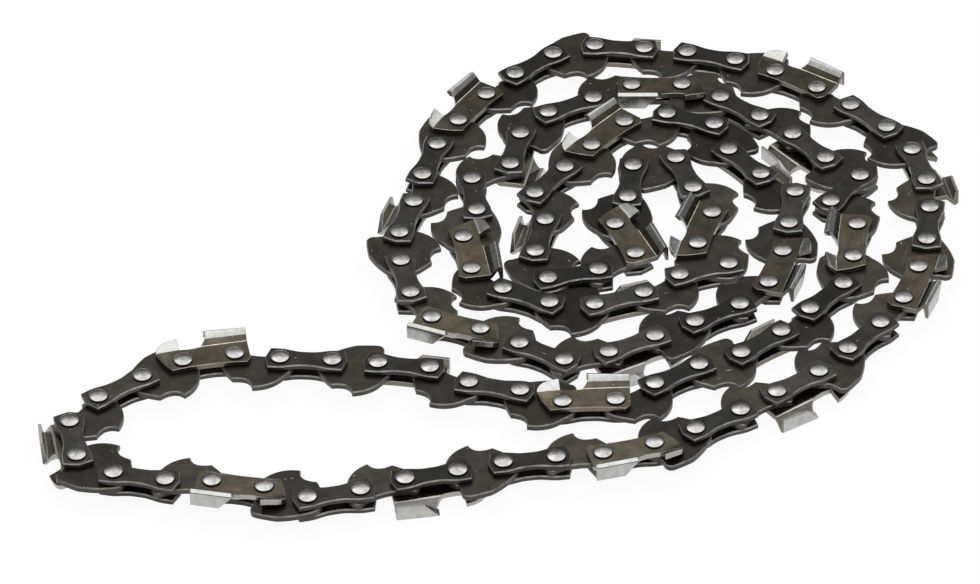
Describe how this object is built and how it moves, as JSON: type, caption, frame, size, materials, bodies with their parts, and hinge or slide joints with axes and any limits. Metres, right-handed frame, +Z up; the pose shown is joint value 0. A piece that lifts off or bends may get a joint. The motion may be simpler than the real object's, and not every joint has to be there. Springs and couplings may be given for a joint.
{
  "type": "saw chain loop",
  "caption": "Closed loop of saw chain wound up on its side: hooked drive links, waisted tie straps, flared cutters with depth gauges, and rivets.",
  "frame": {"origin": "on the table under the middle of the wound loop's outline", "axes": "+X to the right in the picture, the loose bight towards -X, +Y away from the viewer, +Z up along the rivets"},
  "size_m": [0.178, 0.1466, 0.0075],
  "materials": {
    "drive_steel": "oil-quenched brown-black oxide, satin",
    "strap_steel": "blue-black oxide, satin, lighter sheared edges",
    "cutter_steel": "bronze oxide body, frosted hard chrome on the top plate and depth gauge",
    "rivet_steel": "bright spun heads"
  },
  "bodies": {
    "coil": {"coil_drive_links": "drive_steel", "coil_far_pivot_link": "drive_steel", "coil_guard_links": "drive_steel", "coil_lower_cutters": "cutter_steel", "coil_lower_straps": "strap_steel", "coil_near_pivot_link": "drive_steel", "coil_rivets": "rivet_steel", "coil_upper_cutters": "cutter_steel", "coil_upper_straps": "strap_steel"},
    "far_run": {"far_run_drive_link_2": "drive_steel", "far_run_guard_link_1": "drive_steel", "far_run_guard_link_3": "drive_steel", "far_run_lower_cutter_1": "cutter_steel", "far_run_lower_strap_2": "strap_steel", "far_run_lower_strap_3": "strap_steel", "far_run_pivot_rivet": "rivet_steel", "far_run_rivets": "rivet_steel", "far_run_upper_cutter_3": "cutter_steel", "far_run_upper_strap_1": "strap_steel", "far_run_upper_strap_2": "strap_steel"},
    "near_run": {"near_run_drive_link_1": "drive_steel", "near_run_drive_link_3": "drive_steel", "near_run_guard_link_2": "drive_steel", "near_run_lower_cutter_3": "cutter_steel", "near_run_lower_strap_1": "strap_steel", "near_run_lower_strap_2": "strap_steel", "near_run_pivot_rivet": "rivet_steel", "near_run_rivets": "rivet_steel", "near_run_upper_cutter_1": "cutter_steel", "near_run_upper_strap_2": "strap_steel", "near_run_upper_strap_3": "strap_steel"},
    "tip": {"tip_drive_link_1": "drive_steel", "tip_far_pivot_rivet": "rivet_steel", "tip_guard_link_2": "drive_steel", "tip_lower_cutter_2": "cutter_steel", "tip_lower_strap_1": "strap_steel", "tip_lower_strap_3": "strap_steel", "tip_near_pivot_rivet": "rivet_steel", "tip_rivets": "rivet_steel", "tip_upper_strap_1": "strap_steel", "tip_upper_strap_2": "strap_steel", "tip_upper_strap_3": "strap_steel"}
  },
  "joints": [
    {"name": "far_run_swing", "type": "hinge", "parent": "coil", "child": "far_run", "pos_m": [-0.01492, -0.03249, 0.00375], "axis": [0, 0, 1], "range_deg": [-20, 20]},
    {"name": "tip_swing", "type": "hinge", "parent": "far_run", "child": "tip", "pos_m": [-0.06914, -0.03267, 0.00375], "axis": [0, 0, 1], "range_deg": [-20, 20]},
    {"name": "near_run_swing", "type": "hinge", "parent": "coil", "child": "near_run", "pos_m": [-0.01008, -0.06274, 0.00375], "axis": [0, 0, 1], "range_deg": [-20, 20]}
  ],
  "couplings": [
    {"joint": "tip_swing", "follows": "far_run_swing", "ratio": -1},
    {"joint": "near_run_swing", "follows": "far_run_swing", "ratio": 1}
  ]
}
